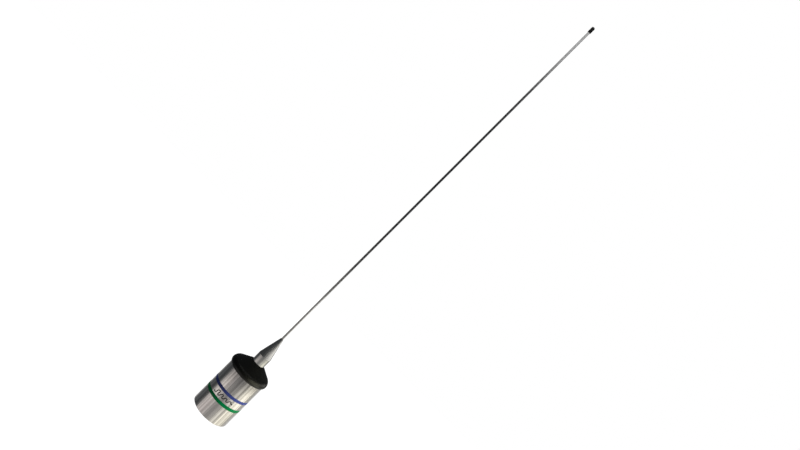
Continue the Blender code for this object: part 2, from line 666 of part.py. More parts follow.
lock_top_z = DISH_DEPTH - GAP
lock_low_z = lock_top_z - LOCK_WASHER_HEIGHT
nut_top_z = lock_low_z - GAP
lock_washer = lathe("mount_lock_washer",
                    tooth_outline(CAN_HOLE_R, 1.2 * MM, LOCK_WASHER_R, lock_low_z, lock_top_z, 12), STEEL, 48)
mount_nut = lathe("mount_nut", hex_nut_outline(CAN_HOLE_R, NUT_AF, nut_top_z - NUT_HEIGHT, nut_top_z),
                  NICKEL, FINE_SEGMENTS)

# ---- ferrule, whip and tip, which unscrew from the stud together ------------------------------------------


def make_ferrule():
    """A short cylinder and a long straight cone, bored for the stud below and for the whip above."""
    edge = 0.4 * MM
    groove_in, groove_out = FERRULE_GROOVE_R
    groove_top_z = FERRULE_Z + FERRULE_GROOVE_DEPTH
    outside = [(groove_out, FERRULE_Z), (FERRULE_R - edge, FERRULE_Z), (FERRULE_R, FERRULE_Z + edge)]
    outside += [(FERRULE_R, FERRULE_CONE_Z), (FERRULE_NOSE_R, FERRULE_NOSE_Z)]
    inside = [(WHIP_HOLE_R, FERRULE_NOSE_Z), (WHIP_HOLE_R, WHIP_Z[0] - GAP), (0, WHIP_Z[0] - GAP)]
    whip_side = outside + inside
    stud_side = [(0, FERRULE_BORE_TOP_Z), (FERRULE_BORE_R, FERRULE_BORE_TOP_Z), (FERRULE_BORE_R, FERRULE_Z)]
    stud_side += [(groove_in, FERRULE_Z), (groove_in, groove_top_z), (groove_out, groove_top_z)]
    return lathe("ferrule", stud_side + whip_side, CHROME, 36)


def make_whip_tip():
    """A moulded cap with a rounded end, closed over the top of the whip."""
    round_r = TIP_R - 0.4 * MM
    outside = [(TIP_R - 0.2 * MM, TIP_Z[0]), (TIP_R, TIP_Z[0] + 0.4 * MM)]
    outside += arc(TIP_R - round_r, TIP_Z[1] - round_r, round_r, 0, 75, 4) + [(0, TIP_Z[1])]
    inside = [(0, WHIP_Z[1] + GAP), (WHIP_HOLE_R, WHIP_Z[1] + GAP), (WHIP_HOLE_R, TIP_Z[0])]
    return lathe("whip_tip", inside + outside, BLACK, 16)


ferrule = make_ferrule()
seal_z = FERRULE_Z + SEAL_WIRE_R
ferrule_seal = lathe("ferrule_seal", arc(SEAL_R, seal_z, SEAL_WIRE_R, 0, 300, 5), RUBBER, FINE_SEGMENTS)
whip_rod = lathe("whip_rod", [(0, WHIP_Z[0]), (WHIP_R, WHIP_Z[0]), (WHIP_R, WHIP_Z[1]), (0, WHIP_Z[1])],
                 POLISHED, 16)
whip_tip = make_whip_tip()


# ---- joint frames --------------------------------------------------------------------------------------


def joint_frame(name, z, parts, parent=None):
    """An empty on the Z axis that carries its parts, which stay where they are."""
    empty = bpy.data.objects.new(name, None)
    empty.empty_display_size = 20 * MM
    bpy.context.scene.collection.objects.link(empty)
    empty.parent = parent
    empty.location.z = z - (parent.location.z if parent else 0)
    for part in parts:
        part.parent = empty
        part.matrix_parent_inverse = Matrix.Translation((0, 0, -z))
    return empty


whip_lift = joint_frame("whip_lift_frame", FERRULE_Z, [ferrule_seal])
joint_frame("whip_unscrew_frame", FERRULE_Z, [ferrule, whip_rod, whip_tip], whip_lift)
nut_travel = joint_frame("nut_travel_frame", nut_top_z, [lock_washer])
joint_frame("nut_unscrew_frame", nut_top_z, [mount_nut], nut_travel)
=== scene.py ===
"""Looks of the base-loaded marine VHF whip antenna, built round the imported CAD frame.

Metres, +Z up along the whip.  The origin is the centre of the canister's flat bottom.  Every visible piece
is a fine mesh that stands for one CAD node, takes its place from that node's box, and rides on its body.
The order is camera, lights, materials, mesh tools, and then the pieces from the canister to the whip's tip.
"""

import math

import bmesh
import bpy
from mathutils import Matrix, Vector


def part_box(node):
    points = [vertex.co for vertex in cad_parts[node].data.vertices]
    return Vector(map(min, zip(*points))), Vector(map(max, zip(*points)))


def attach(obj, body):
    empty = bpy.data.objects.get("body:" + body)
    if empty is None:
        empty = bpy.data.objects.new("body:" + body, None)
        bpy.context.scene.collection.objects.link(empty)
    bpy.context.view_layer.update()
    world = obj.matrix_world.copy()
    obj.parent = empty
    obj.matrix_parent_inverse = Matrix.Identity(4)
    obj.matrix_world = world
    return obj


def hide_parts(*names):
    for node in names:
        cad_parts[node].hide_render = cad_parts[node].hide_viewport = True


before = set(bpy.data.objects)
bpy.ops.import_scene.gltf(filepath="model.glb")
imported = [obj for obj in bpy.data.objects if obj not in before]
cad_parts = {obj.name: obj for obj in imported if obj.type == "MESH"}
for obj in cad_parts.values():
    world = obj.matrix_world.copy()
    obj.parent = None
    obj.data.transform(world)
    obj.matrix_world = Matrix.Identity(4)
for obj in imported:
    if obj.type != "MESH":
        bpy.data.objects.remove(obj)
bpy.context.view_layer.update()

MM = 0.001
FULL = 2 * math.pi
SKIN = 0.03 * MM  # how far a printed or taped layer stands off the metal under it


def span(node):
    """Greatest radius, lowest height and highest height of a CAD node, at rest."""
    low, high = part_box(node)
    return max(high.x, high.y), low.z, high.z


# ---- camera --------------------------------------------------------------------------------------
# The camera looks level along +Y at the middle of the antenna and is rolled, so the whip runs to the upper
# right of the picture.

EYE = Vector((4.3 * MM, -1058 * MM, 447.7 * MM))
ROLL_DEG = 45.04
LENS = 28.2

camera_data = bpy.data.cameras.new("camera")
camera_data.lens = LENS
camera_data.sensor_width = 36.0
camera_data.clip_start = 0.01
camera_data.clip_end = 50.0
camera = bpy.data.objects.new("camera", camera_data)
camera.matrix_world = (
    Matrix.Translation(EYE)
    @ Matrix.Rotation(math.radians(90), 4, "X")
    @ Matrix.Rotation(math.radians(ROLL_DEG), 4, "Z")
)
bpy.context.scene.collection.objects.link(camera)
bpy.context.scene.camera = camera
bpy.context.scene.view_settings.view_transform = "Standard"


# ---- node helpers --------------------------------------------------------------------------------


def add_node(tree, kind, inputs=None, **settings):
    """Add a shader node.  An input given as a socket is linked, and any other value is set on the node."""
    node = tree.nodes.new(kind)
    for key, value in settings.items():
        setattr(node, key, value)
    for key, value in (inputs or {}).items():
        if isinstance(value, bpy.types.NodeSocket):
            tree.links.new(value, node.inputs[key])
        else:
            node.inputs[key].default_value = value
    return node


def maths(tree, operation, a, b=0.0):
    """The result socket of one Math node."""
    return add_node(tree, "ShaderNodeMath", {0: a, 1: b}, operation=operation).outputs[0]


def remap(tree, value, low, high, out_low, out_high):
    """Map value from low..high onto out_low..out_high, clamped."""
    names = ("Value", "From Min", "From Max", "To Min", "To Max")
    inputs = dict(zip(names, (value, low, high, out_low, out_high)))
    return add_node(tree, "ShaderNodeMapRange", inputs).outputs["Result"]


def blend_colour(tree, factor, first, second, mode="MIX"):
    """Mix two colours, each an RGB tuple or a socket."""
    node = add_node(tree, "ShaderNodeMix", data_type="RGBA", blend_type=mode)
    for key, value in ((0, factor), (6, first), (7, second)):
        if isinstance(value, bpy.types.NodeSocket):
            tree.links.new(value, node.inputs[key])
        elif key == 0:
            node.inputs[key].default_value = value
        else:
            node.inputs[key].default_value = (*value, 1.0)
    return node.outputs[2]


# ---- world and lights ----------------------------------------------------------------------------


def panel(tree, level, azimuth_deg, half_deg, soft_deg, strength, tint):
    """The colour that one upright panel of the surroundings adds, at an azimuth from -Y towards +X."""
    a = math.radians(azimuth_deg)
    facing = add_node(tree, "ShaderNodeVectorMath", {0: level, 1: (math.sin(a), -math.cos(a), 0.0)},
                      operation="DOT_PRODUCT").outputs["Value"]
    outer = math.cos(math.radians(half_deg + soft_deg))
    inner = math.cos(math.radians(half_deg - soft_deg))
    share = remap(tree, facing, outer, inner, 0.0, strength)
    return blend_colour(tree, share, BLACK_LIGHT, tint)


# Upright panels below the horizon.  Each has its azimuth, its half width and its edges' softness in degrees,
# and then its strength and its tint.
LOW_PANELS = (
    (18, 96, 5, 0.35, (1.0, 0.965, 0.92)),  # the white wall behind the camera
    (-46, 20, 14, 0.36, (1.0, 0.89, 0.87)),  # a warm reflector on the left
    (43, 7, 5, 0.42, (1.0, 0.98, 0.88)),  # a narrow strip at the edge of the right softbox
    (82, 48, 22, 0.32, (1.0, 0.98, 0.82)),  # the right softbox's spill
    (90, 22, 14, 0.80, (1.0, 0.98, 0.79)),  # the right softbox
    (172, 36, 18, 0.62, (1.0, 0.99, 0.97)),  # the white wall behind the antenna
    (-105, 30, 10, 0.04, (0.9, 0.97, 1.0)),  # the dark curtain on the left
)
PANEL_HEIGHTS = (-0.31, -0.18)  # sine of the elevation below which the panels are full, and above which gone
CEILING_HEIGHTS = (0.43, 0.56)  # sine of the elevation where the ceiling starts, and where it is full
WORLD_BASE = (0.056, 0.060, 0.064)
WORLD_CEILING = (0.04, 0.04, 0.04)  # added to the base overhead
DIFFUSE_SHARE = 0.22  # how much of the room's light reaches matt surfaces, which the key lamp models instead
BLACK_LIGHT = (0.0, 0.0, 0.0)
WHITE = (1.0, 1.0, 1.0)


def make_world():
    """White to the camera, and a room lit from low down, dark at eye level and dim overhead, to all else."""
    world = bpy.data.worlds.new("studio")
    bpy.context.scene.world = world
    world.use_nodes = True
    tree = world.node_tree
    tree.nodes.clear()
    direction = add_node(tree, "ShaderNodeTexCoord").outputs["Generated"]
    height = add_node(tree, "ShaderNodeSeparateXYZ", {0: direction}).outputs["Z"]
    level = add_node(tree, "ShaderNodeVectorMath", {0: direction, 1: (1.0, 1.0, 0.0)},
                     operation="MULTIPLY").outputs[0]
    level = add_node(tree, "ShaderNodeVectorMath", {0: level}, operation="NORMALIZE").outputs[0]
    low = BLACK_LIGHT
    for values in LOW_PANELS:
        low = blend_colour(tree, 1.0, panel(tree, level, *values), low, "ADD")
    low = blend_colour(tree, remap(tree, height, *PANEL_HEIGHTS, 1.0, 0.0), BLACK_LIGHT, low)
    high = blend_colour(tree, remap(tree, height, *CEILING_HEIGHTS, 0.0, 1.0), BLACK_LIGHT, WORLD_CEILING)
    total = blend_colour(tree, 1.0, low, WORLD_BASE, "ADD")
    total = blend_colour(tree, 1.0, total, high, "ADD")
    ray = add_node(tree, "ShaderNodeLightPath").outputs
    strength = remap(tree, ray["Is Diffuse Ray"], 0.0, 1.0, 1.0, DIFFUSE_SHARE)
    lit = add_node(tree, "ShaderNodeBackground", {"Color": total, "Strength": strength})
    seen = add_node(tree, "ShaderNodeBackground", {"Color": (1.0, 1.0, 1.0, 1.0), "Strength": 1.0})
    mixed = add_node(tree, "ShaderNodeMixShader",
                     {0: ray["Is Camera Ray"], 1: lit.outputs[0], 2: seen.outputs[0]})
    add_node(tree, "ShaderNodeOutputWorld", {"Surface": mixed.outputs[0]})


def make_softbox(name, azimuth_deg, distance, heights, width, brightness, tint=WHITE, mirrored=True):
    """An upright rectangular lamp that faces the axis from an azimuth, from -Y towards +X.

    A lamp that is not mirrored lights matt surfaces without showing in the metal.
    """
    low, high = heights
    a = math.radians(azimuth_deg)
    outward = Vector((math.sin(a), -math.cos(a), 0))
    data = bpy.data.lights.new(name, "AREA")
    data.shape = "RECTANGLE"
    data.size, data.size_y = width, high - low
    data.energy = brightness * math.pi * width * (high - low)
    data.color = tint
    lamp = bpy.data.objects.new(name, data)
    lamp.location = outward * distance + Vector((0, 0, (low + high) / 2))
    lamp.rotation_mode = "QUATERNION"
    lamp.rotation_quaternion = outward.to_track_quat("Z", "Y")
    lamp.visible_camera = False
    lamp.visible_glossy = mirrored
    bpy.context.scene.collection.objects.link(lamp)
    return lamp


def flag(lamp, piece):
    """Screen a lamp off from all but one piece."""
    lit = bpy.data.collections.new(f"lit_by_{lamp.name}")
    lit.objects.link(piece)
    lamp.light_linking.receiver_collection = lit


FLOOR_Z = -1.25


def make_floor():
    """A wide pale floor far below the antenna, which hangs in the air as if held by its bracket seat."""
    shape = bmesh.new()
    bmesh.ops.create_grid(shape, x_segments=8, y_segments=8, size=9.0)
    mesh = bpy.data.meshes.new("floor")
    shape.to_mesh(mesh)
    shape.free()
    floor = bpy.data.objects.new("floor", mesh)
    floor.location.z = FLOOR_Z
    bpy.context.scene.collection.objects.link(floor)
    material = bpy.data.materials.new("pale_floor")
    material.use_nodes = True
    shader = material.node_tree.nodes["Principled BSDF"]
    shader.inputs["Base Color"].default_value = (0.9, 0.9, 0.9, 1.0)
    shader.inputs["Roughness"].default_value = 0.8
    shader.inputs["Emission Color"].default_value = (1.0, 1.0, 1.0, 1.0)
    shader.inputs["Emission Strength"].default_value = 1.1
    mesh.materials.append(material)
    floor.visible_glossy = False
    floor.visible_diffuse = False


make_world()
make_floor()

# A bank of five softboxes stands close by at the ferrule's height, brighter towards the right and the back.
# Its lower edge falls in the same direction.  The pairs are azimuths and brightnesses.
NEAR = 0.25
BANK = ((-20, 0.16), (14, 0.48), (48, 0.98), (82, 1.32), (116, 1.50))
for azimuth, brightness in BANK:
    heights = (0.165 - 0.0006 * azimuth, 0.195)
    make_softbox(f"bank_{azimuth + 20}", azimuth, NEAR, heights, 0.153, brightness, (1.0, 0.98, 0.93))

# Two small ones below the bank brighten the canister's upper half.
for azimuth, brightness in ((-46, 0.25), (90, 0.65)):
    make_softbox(f"low_{azimuth + 46}", azimuth, NEAR, (-0.06, 0.015), 0.15, brightness, (1.0, 0.98, 0.88))

# A ring of three hangs high in front and lights the whip's upper end.
for azimuth in (-60, 0, 60):
    make_softbox(f"ring_{azimuth + 60}", azimuth, 0.8, (1.24, 1.64), 0.8, 1.65)

# The key, on the right, and the fill behind light the stripes and the other matt pieces.
FAR_HEIGHTS = (-0.15, 0.45)
make_softbox("key", 66, 0.9, FAR_HEIGHTS, 0.5, 4.3, mirrored=False)
make_softbox("back_fill", -155, 0.9, FAR_HEIGHTS, 0.5, 5.0, mirrored=False)


# ---- surface patterns: each returns a socket that runs from 0 to 1 -------------------------------


def object_place(tree):
    """The place of the shaded point in metres, in the antenna's own frame."""
    return add_node(tree, "ShaderNodeTexCoord").outputs["Object"]


def noise(tree, place, scale, detail=2.0, roughness=0.55):
    inputs = {"Vector": place, "Scale": scale, "Detail": detail, "Roughness": roughness}
    return add_node(tree, "ShaderNodeTexNoise", inputs).outputs["Fac"]


def stretched(tree, across, along):
    """Coordinates whose noise is drawn out along Z: across and along are in features per metre."""
    inputs = {"Vector": object_place(tree), "Scale": (across, across, along)}
    return add_node(tree, "ShaderNodeMapping", inputs).outputs["Vector"]


def axial_streaks(tree, across, along):
    """Fine scratches along Z."""
    return noise(tree, stretched(tree, across, along), 1.0, 3.0, 0.6)


def brushed_streaks(tree):
    """Scratches along Z in three widths: long bands, streaks within them and fine short lines."""
    bands = noise(tree, stretched(tree, 170.0, 1.2), 1.0, 1.0, 0.5)
    streaks = noise(tree, stretched(tree, 420.0, 3.0), 1.0, 1.0, 0.6)
    lines = noise(tree, stretched(tree, 1500.0, 16.0), 1.0, 3.0, 0.6)
    broad = maths(tree, "ADD", maths(tree, "MULTIPLY", bands, 0.3), maths(tree, "MULTIPLY", streaks, 0.45))
    return maths(tree, "ADD", broad, maths(tree, "MULTIPLY", lines, 0.25))


def turning_rings(tree, per_metre):
    """Fine rings round Z, left by a lathe tool."""
    x, y, z = add_node(tree, "ShaderNodeSeparateXYZ", {0: object_place(tree)}).outputs
    squares = maths(tree, "ADD", maths(tree, "MULTIPLY", x, x), maths(tree, "MULTIPLY", y, y))
    radius = maths(tree, "SQRT", squares)
    rings = add_node(tree, "ShaderNodeCombineXYZ", {"X": radius, "Z": z}).outputs[0]
    return noise(tree, rings, per_metre, 3.0, 0.7)


def grain(tree, per_metre, detail=3.0):
    """Even fine grain."""
    return noise(tree, object_place(tree), per_metre, detail)


def bump(tree, height, distance, strength=1.0):
    inputs = {"Height": height, "Distance": distance, "Strength": strength}
    return add_node(tree, "ShaderNodeBump", inputs).outputs["Normal"]


def start_material(name):
    """A new material, its node tree and its Principled shader."""
    material = bpy.data.materials.new(name)
    material.use_nodes = True
    return material, material.node_tree, material.node_tree.nodes["Principled BSDF"]


def make_metal(name, dark, light, pattern, roughness, bump_depth, smudge=0.06, spread=0.2):
    """Bare metal: the pattern drives its tint, its roughness and its fine relief, and smudges dull it.

    The tint runs from dark to light while the pattern runs over its middle value, give or take the spread.
    """
    material, tree, shader = start_material(name)
    fine = pattern(tree)
    broad = grain(tree, 70.0, 2.0)
    tint = remap(tree, fine, 0.5 - spread, 0.5 + spread, 0.0, 1.0)
    colour = blend_colour(tree, tint, dark, light)
    low, high = roughness
    dulling = remap(tree, broad, 0.4, 0.65, 0.0, smudge)
    rough = maths(tree, "ADD", remap(tree, fine, 0.3, 0.7, low, high), dulling)
    tree.links.new(colour, shader.inputs["Base Color"])
    tree.links.new(rough, shader.inputs["Roughness"])
    tree.links.new(bump(tree, fine, bump_depth), shader.inputs["Normal"])
    shader.inputs["Metallic"].default_value = 1.0
    return material


def make_dielectric(name, dark, light, roughness, grain_size, bump_depth, specular=0.5):
    """Plastic, rubber or vinyl: grain drives its fine relief and roughness, and a broad cloud its tint."""
    material, tree, shader = start_material(name)
    fine = grain(tree, 1.0 / grain_size)
    cloud = grain(tree, 90.0, 2.0)
    colour = blend_colour(tree, remap(tree, cloud, 0.35, 0.65, 0.0, 1.0), dark, light)
    low, high = roughness
    tree.links.new(colour, shader.inputs["Base Color"])
    tree.links.new(remap(tree, fine, 0.3, 0.7, low, high), shader.inputs["Roughness"])
    tree.links.new(bump(tree, fine, bump_depth), shader.inputs["Normal"])
    shader.inputs["Specular IOR Level"].default_value = specular
    return material


BRUSHED = make_metal("brushed_stainless", (0.40, 0.38, 0.37), (0.82, 0.79, 0.77), brushed_streaks,
                     (0.15, 0.26), 0.03 * MM, spread=0.1)
SPUN = make_metal("spun_stainless", (0.50, 0.485, 0.47), (0.68, 0.66, 0.64),
                  lambda t: turning_rings(t, 1400.0), (0.24, 0.38), 0.012 * MM)
CHROME = make_metal("satin_chrome", (0.45, 0.445, 0.435), (0.57, 0.565, 0.55),
                    lambda t: turning_rings(t, 2200.0), (0.20, 0.30), 0.006 * MM, smudge=0.04)
ROD = make_metal("whip_stainless", (0.27, 0.27, 0.27), (0.41, 0.405, 0.40),
                 lambda t: axial_streaks(t, 2600.0, 30.0), (0.18, 0.30), 0.006 * MM)
NICKEL = make_metal("nickel_plate", (0.50, 0.46, 0.39), (0.66, 0.62, 0.54),
                    lambda t: turning_rings(t, 1600.0), (0.18, 0.32), 0.006 * MM)
BRASS = make_metal("turned_brass", (0.56, 0.38, 0.14), (0.70, 0.51, 0.22),
                   lambda t: turning_rings(t, 1600.0), (0.2, 0.34), 0.006 * MM)
COPPER = make_metal("bright_copper", (0.58, 0.30, 0.17), (0.74, 0.44, 0.29),
                    lambda t: grain(t, 900.0), (0.22, 0.36), 0.004 * MM)
ZINC = make_metal("zinc_plate", (0.46, 0.47, 0.48), (0.62, 0.63, 0.65),
                  lambda t: grain(t, 1200.0), (0.26, 0.42), 0.006 * MM)
BLACK = make_dielectric("black_plastic", (0.003, 0.003, 0.0025), (0.005, 0.005, 0.004), (0.32, 0.42),
                        0.35 * MM, 0.01 * MM, 0.25)
TIP_BLACK = make_dielectric("tip_plastic", (0.003, 0.003, 0.003), (0.005, 0.005, 0.005), (0.35, 0.5),
                            0.3 * MM, 0.01 * MM, 0.2)
RUBBER = make_dielectric("black_rubber", (0.010, 0.010, 0.010), (0.020, 0.020, 0.020), (0.55, 0.75),
                         0.25 * MM, 0.02 * MM)
PTFE = make_dielectric("white_ptfe", (0.74, 0.74, 0.71), (0.84, 0.84, 0.82), (0.35, 0.5), 0.3 * MM,
                       0.008 * MM)
ACETAL = make_dielectric("natural_acetal", (0.62, 0.60, 0.52), (0.74, 0.72, 0.65), (0.35, 0.5),
                         0.6 * MM, 0.01 * MM)
BLUE = make_dielectric("blue_vinyl", (0.075, 0.105, 0.40), (0.095, 0.13, 0.47), (0.28, 0.38), 0.3 * MM,
                       0.004 * MM, 0.15)
GREEN = make_dielectric("green_vinyl", (0.0, 0.30, 0.085), (0.0, 0.37, 0.105), (0.28, 0.38), 0.3 * MM,
                        0.004 * MM, 0.1)
INK = make_dielectric("black_ink", (0.006, 0.006, 0.010), (0.016, 0.016, 0.022), (0.35, 0.5), 0.2 * MM,
                      0.003 * MM)


# ---- mesh tools ----------------------------------------------------------------------------------


def finish_mesh(name, shape, materials, sharp_deg=32):
    """Turn a bmesh into a smooth-shaded object with crisp edges where faces meet steeply."""
    bmesh.ops.recalc_face_normals(shape, faces=shape.faces)
    mesh = bpy.data.meshes.new(name)
    shape.to_mesh(mesh)
    shape.free()
    mesh.shade_smooth()
    mesh.set_sharp_from_angle(angle=math.radians(sharp_deg))
    for material in materials:
        mesh.materials.append(material)
    obj = bpy.data.objects.new(name, mesh)
    bpy.context.scene.collection.objects.link(obj)
    return obj


def rounded(points, steps=4):
    """A section outline with its corners rounded.

    Each point is (radius, height) or (radius, height, fillet).  A fillet is the radius of an arc that
    touches both straight runs at that corner, cut down where a run is too short for it.
    """
    result = []
    count = len(points)
    for i, point in enumerate(points):
        fillet = point[2] if len(point) > 2 else 0.0
        if not fillet:
            result.append(point[:2])
            continue
        corner = Vector(point[:2])
        before = Vector(points[i - 1][:2]) - corner
        after = Vector(points[(i + 1) % count][:2]) - corner
        half = before.angle(after) / 2
        reach = min(fillet / math.tan(half), 0.48 * before.length, 0.48 * after.length)
        radius = reach * math.tan(half)
        middle = (before.normalized() + after.normalized()).normalized()
        centre = corner + middle * (radius / math.sin(half))
        start = corner + before.normalized() * reach - centre
        end = corner + after.normalized() * reach - centre
        turn = start.angle(end)
        for k in range(steps + 1):
            share = k / steps
            arm = (math.sin((1 - share) * turn) * start + math.sin(share * turn) * end) / math.sin(turn)
            result.append(tuple(centre + arm))
    return result


def arc(centre_r, centre_z, radius, start_deg, end_deg, steps):
    """Points of a circular arc in the (radius, height) plane."""
    points = []
    for i in range(steps + 1):
        a = math.radians(start_deg + (end_deg - start_deg) * i / steps)
        points.append((centre_r + radius * math.cos(a), centre_z + radius * math.sin(a)))
    return points


def turned(outline, sides=192):
    """A bmesh turned about Z from (radius, height) points, whose radius may be a function of the angle.

    An outline that starts and ends on the axis closes there, and any other closes on itself as a ring.
    """
    shape = bmesh.new()
    rings = []
    for radius, z in outline:
        if not callable(radius) and radius < 1e-7:
            rings.append([shape.verts.new((0, 0, z))] * sides)
            continue
        ring = []
        for i in range(sides):
            a = FULL * i / sides
            r = radius(a) if callable(radius) else radius
            ring.append(shape.verts.new((r * math.cos(a), r * math.sin(a), z)))
        rings.append(ring)
    pairs = list(zip(rings, rings[1:]))
    if callable(outline[0][0]) or outline[0][0] > 1e-7:
        pairs.append((rings[-1], rings[0]))
    for low, high in pairs:
        for i in range(sides):
            j = (i + 1) % sides
            shape.faces.new(list(dict.fromkeys((low[i], low[j], high[j], high[i]))))
    return shape


UNCUT = 1.0  # a limit in metres that cuts no corner


def hexagon(across_flats, limit=UNCUT):
    """Radius of a hexagon at an angle, held to limit so that a chamfer rounds its corners."""

    def radius(angle):
        turn = (angle + math.pi / 6) % (math.pi / 3) - math.pi / 6
        return min(across_flats / 2 / math.cos(turn), limit)

    return radius


def flatted(radius, flat):
    """A round outline with one flat on its +X side.  The radius may be a function of the angle."""

    def shaped(angle):
        r = radius(angle) if callable(radius) else radius
        across = math.cos(angle)
        return min(r, flat / across) if across > 0.1 else r

    return shaped


def thread_rows(crest, root, pitch, low_z, high_z, taper_low=0.0, taper_high=0.0, rows_per_pitch=14):
    """Section rows of a right-hand V thread between two heights.

    The radius runs between crest and root with the phase of the helix at each angle and height.  A taper is
    the length of a 45 degree lead-in at that end, where the thread fades into the root.
    """
    count = max(2, round((high_z - low_z) / pitch * rows_per_pitch))
    sign = 1 if crest > root else -1
    depth = abs(crest - root)
    rows = []
    for k in range(count + 1):
        z = low_z + (high_z - low_z) * k / count

        def radius(angle, z=z):
            phase = (z / pitch - angle / FULL) % 1.0
            wave = 1.0 - abs(2.0 * phase - 1.0)
            height = depth * min(1.0, max(0.0, 1.25 * wave - 0.08))
            room = depth
            if taper_low:
                room = min(room, depth * (z - low_z) / taper_low)
            if taper_high:
                room = min(room, depth * (high_z - z) / taper_high)
            return root + sign * min(height, room)

        rows.append((radius, z))
    return rows


def sweep(path, radius, sides=16, round_ends=True):
    """A bmesh of a round wire along points, its ends domed or flat."""
    shape = bmesh.new()
    stations = [(p, radius) for p in path]
    if round_ends:
        ends = []
        for tip, inner in ((path[0], path[1]), (path[-1], path[-2])):
            out = (tip - inner).normalized()
            ends.append([(tip + out * radius * (math.sin(a) - 1.0), radius * math.cos(a))
                         for a in (math.radians(d) for d in (30, 55, 75, 88))])
        stations = ends[0][::-1] + stations[1:-1] + ends[1]
    rings = []
    normal = None
    for i, (point, r) in enumerate(stations):
        ahead = stations[min(i + 1, len(stations) - 1)][0] - stations[max(i - 1, 0)][0]
        ahead.normalize()
        if normal is None:
            normal = ahead.orthogonal()
        normal = (normal - ahead * normal.dot(ahead)).normalized()
        side = ahead.cross(normal)
        ring = []
        for k in range(sides):
            a = FULL * k / sides
            ring.append(shape.verts.new(point + r * (math.cos(a) * normal + math.sin(a) * side)))
        rings.append(ring)
    for low, high in zip(rings, rings[1:]):
        for k in range(sides):
            m = (k + 1) % sides
            shape.faces.new((low[k], low[m], high[m], high[k]))
    shape.faces.new(rings[0])
    shape.faces.new(rings[-1])
    return shape


def around(radius, angle_deg, z):
    """The point at this radius and angle round the axis."""
    a = math.radians(angle_deg)
    return Vector((radius * math.cos(a), radius * math.sin(a), z))


def place(piece, node, body, slot):
    """Hide the CAD node that the piece stands for and hang the piece on the body that carries it; the slot
    is not used.
    """
    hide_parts(node)
    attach(piece, body)
    return piece


# ---- canister and its stripes --------------------------------------------------------------------

CAN_R, _, CAN_RIM_Z = span("canister")
CAN_WALL = 1.0 * MM
CAN_FLOOR = 1.2 * MM
CAN_CORNER = 0.9 * MM
DISH_R = 19.0 * MM
DISH_DEPTH = 0.6 * MM
CAN_HOLE_R = 8.25 * MM
CAN_HOLE_FLAT = 7.4 * MM


def make_canister():
    """The drawn cup: a dished bottom with a D-shaped hole, a rounded corner and a straight wall."""
    hole = flatted(CAN_HOLE_R, CAN_HOLE_FLAT)
    inside_r = CAN_R - CAN_WALL
    foot_r = DISH_R + 2 * MM
    flat_r = CAN_HOLE_R + 2 * MM
    section = rounded([
        (flat_r, DISH_DEPTH), (DISH_R, DISH_DEPTH, 1.5 * MM), (foot_r, 0, 1.5 * MM),
        (CAN_R, 0, CAN_CORNER), (CAN_R, CAN_RIM_Z, 0.3 * MM), (inside_r, CAN_RIM_Z, 0.3 * MM),
        (inside_r, CAN_FLOOR, 0.6 * MM), (foot_r, CAN_FLOOR, 1.5 * MM),
        (DISH_R, CAN_FLOOR + DISH_DEPTH, 1.5 * MM), (flat_r, CAN_FLOOR + DISH_DEPTH),
    ], 6)
    section = [(hole, DISH_DEPTH)] + section + [(hole, CAN_FLOOR + DISH_DEPTH)]
    can = finish_mesh("can_shell", turned(section, 256), [BRUSHED, SPUN])
    for face in can.data.polygons:
        on_bottom = face.center.z < CAN_CORNER / 2
        on_dish = face.center.xy.length < foot_r and face.center.z < 3 * MM
        if on_bottom or on_dish:
            face.material_index = 1
    return can


def make_stripe(name, node, material):
    """A band of vinyl tape wrapped round the canister, its edges softened."""
    _, low, high = span(node)
    inner_r = CAN_R + SKIN / 2
    outer_r = CAN_R + 3 * SKIN
    section = rounded([(inner_r, low), (outer_r, low, SKIN), (outer_r, high, SKIN), (inner_r, high)], 3)
    return finish_mesh(name, turned(section, 256), [material])


def damped_wave(length, height, strokes, lean):
    """The line of a dying radio wave, tall on the left and low on the right, with a straight tail.

    It runs in the plane of the canister's unrolled front: across, and up.  Each stroke is a half turn, and
    the whole line leans to the right.
    """
    width = length / (strokes + 1)
    turn_r = width / 2
    line = []
    for i in range(strokes):
        fade = (1.0 - i / strokes) ** 0.8
        reach = max(0.0, height / 2 * fade - turn_r)
        side = 1 if i % 2 else -1
        middle = -length / 2 + width * i + turn_r
        for k in range(9):
            a = math.pi * (1 - k / 8)
            line.append(Vector((middle + turn_r * math.cos(a), side * (reach + turn_r * math.sin(a)))))
    line.append(Vector((length / 2, -height / 10)))
    return [Vector((p.x + lean * p.y, p.y)) for p in line]


def resampled(line, step):
    """The same line with its long runs cut into short ones, so that it can be wrapped round the canister."""
    points = [line[0]]
    for start, end in zip(line, line[1:]):
        count = max(1, math.ceil((end - start).length / step))
        points += [start.lerp(end, k / count) for k in range(1, count + 1)]
    return points


EMBLEM_LENGTH = 40.0 * MM
EMBLEM_SHARE = 0.81  # of the film's height that the middle of the line takes


